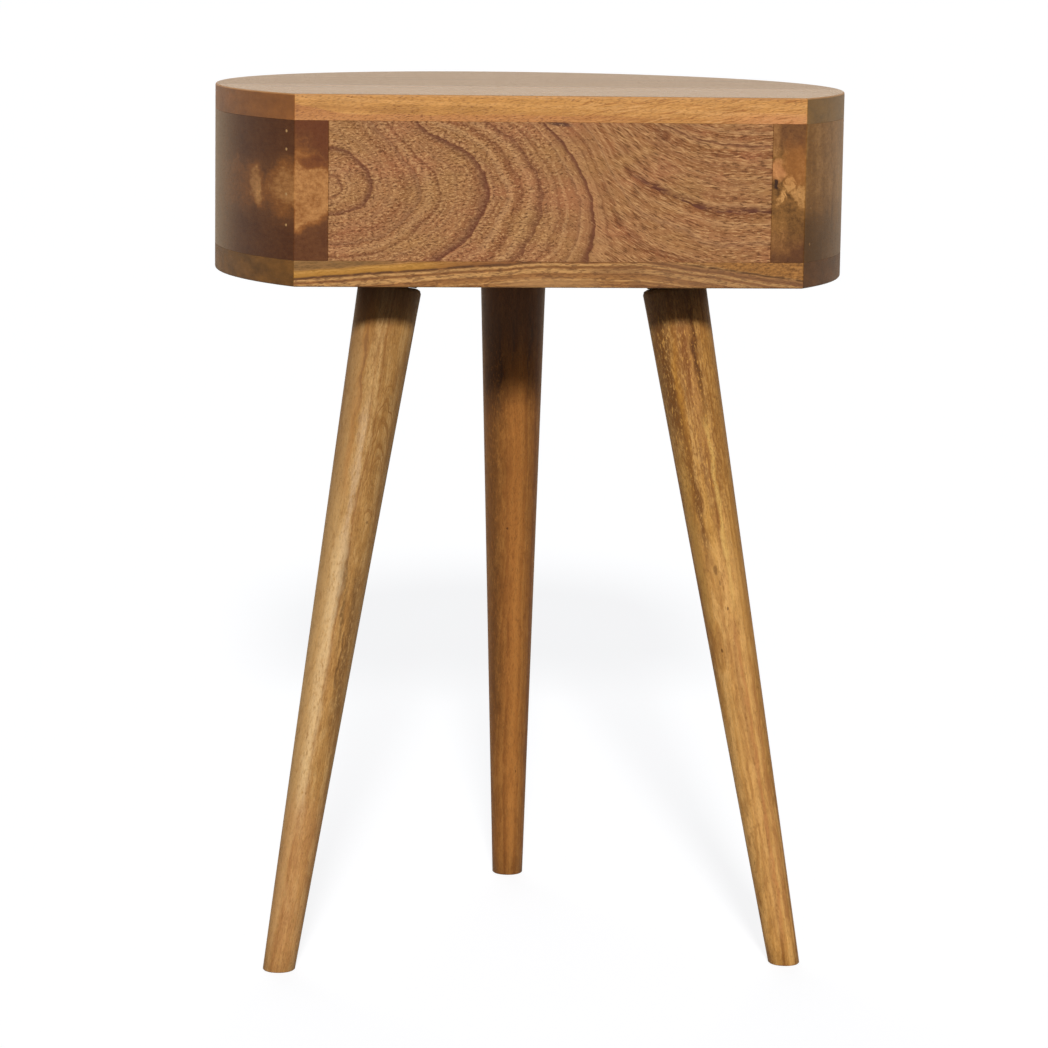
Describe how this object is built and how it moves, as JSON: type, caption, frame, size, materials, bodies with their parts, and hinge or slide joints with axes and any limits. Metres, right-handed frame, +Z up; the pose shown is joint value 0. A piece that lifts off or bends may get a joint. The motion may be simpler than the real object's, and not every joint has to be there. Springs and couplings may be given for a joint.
{
  "type": "nightstand",
  "caption": "Small solid wood nightstand: rounded case with a flat back and a curved drawer, on splayed turned legs",
  "frame": {"origin": "on the floor, below the middle of the plan's bounding box", "axes": "+Z up; the drawer opens towards -Y and the flat back faces +Y; +X is the right-hand side seen from the drawer"},
  "size_m": [0.4, 0.324, 0.556],
  "materials": {
    "top_wood": "satin lacquer on orange-tan hardwood, long grain across the width",
    "bottom_wood": "satin lacquer on yellow-tan hardwood with dark slanting streaks",
    "wall_wood": "satin lacquer on blotchy dark brown hardwood",
    "panel_wood": "satin lacquer on reddish-brown plain-sawn hardwood",
    "leg_wood": "satin lacquer on turned hardwood",
    "drawer_wood": "satin lacquer on bent hardwood",
    "box_wood": "plain sanded hardwood, no lacquer",
    "dowel_wood": "plain beech",
    "black_steel": "black satin coated steel",
    "zinc_steel": "zinc plated steel"
  },
  "bodies": {
    "case": {"bottom_board": "bottom_wood", "top_board": "top_wood", "right_side_wall": "wall_wood", "left_side_wall": "wall_wood", "back_panel": "panel_wood", "right_wall_upper_front_dowel": "dowel_wood", "right_wall_lower_front_dowel": "dowel_wood", "right_wall_upper_back_dowel": "dowel_wood", "right_wall_lower_back_dowel": "dowel_wood", "left_wall_upper_front_dowel": "dowel_wood", "left_wall_lower_front_dowel": "dowel_wood", "left_wall_upper_back_dowel": "dowel_wood", "left_wall_lower_back_dowel": "dowel_wood", "back_panel_right_pin_1": "zinc_steel", "back_panel_right_pin_2": "zinc_steel", "back_panel_right_pin_3": "zinc_steel", "back_panel_right_pin_4": "zinc_steel", "back_panel_left_pin_1": "zinc_steel", "back_panel_left_pin_2": "zinc_steel", "back_panel_left_pin_3": "zinc_steel", "back_panel_left_pin_4": "zinc_steel", "leg_back_right": "leg_wood", "leg_back_right_plate": "black_steel", "leg_back_right_bolt": "zinc_steel", "leg_back_right_plate_screw_1": "zinc_steel", "leg_back_right_plate_screw_2": "zinc_steel", "leg_back_right_plate_screw_3": "zinc_steel", "leg_back_right_plate_screw_4": "zinc_steel", "leg_back_left": "leg_wood", "leg_back_left_plate": "black_steel", "leg_back_left_bolt": "zinc_steel", "leg_back_left_plate_screw_1": "zinc_steel", "leg_back_left_plate_screw_2": "zinc_steel", "leg_back_left_plate_screw_3": "zinc_steel", "leg_back_left_plate_screw_4": "zinc_steel", "leg_front": "leg_wood", "leg_front_plate": "black_steel", "leg_front_bolt": "zinc_steel", "leg_front_plate_screw_1": "zinc_steel", "leg_front_plate_screw_2": "zinc_steel", "leg_front_plate_screw_3": "zinc_steel", "leg_front_plate_screw_4": "zinc_steel", "right_drawer_guide": "box_wood", "right_drawer_stop": "box_wood", "left_drawer_guide": "box_wood", "left_drawer_stop": "box_wood"},
    "drawer": {"drawer_front": "drawer_wood", "drawer_right_side": "box_wood", "drawer_left_side": "box_wood", "drawer_back": "box_wood", "drawer_bottom": "box_wood", "drawer_right_lower_dowel": "dowel_wood", "drawer_right_lower_pin": "zinc_steel", "drawer_right_upper_dowel": "dowel_wood", "drawer_right_upper_pin": "zinc_steel", "drawer_left_lower_dowel": "dowel_wood", "drawer_left_lower_pin": "zinc_steel", "drawer_left_upper_dowel": "dowel_wood", "drawer_left_upper_pin": "zinc_steel"}
  },
  "joints": [
    {"name": "drawer_slide", "type": "slide", "parent": "case", "child": "drawer", "axis": [0, -1, 0], "range_m": [0, 0.17]}
  ]
}
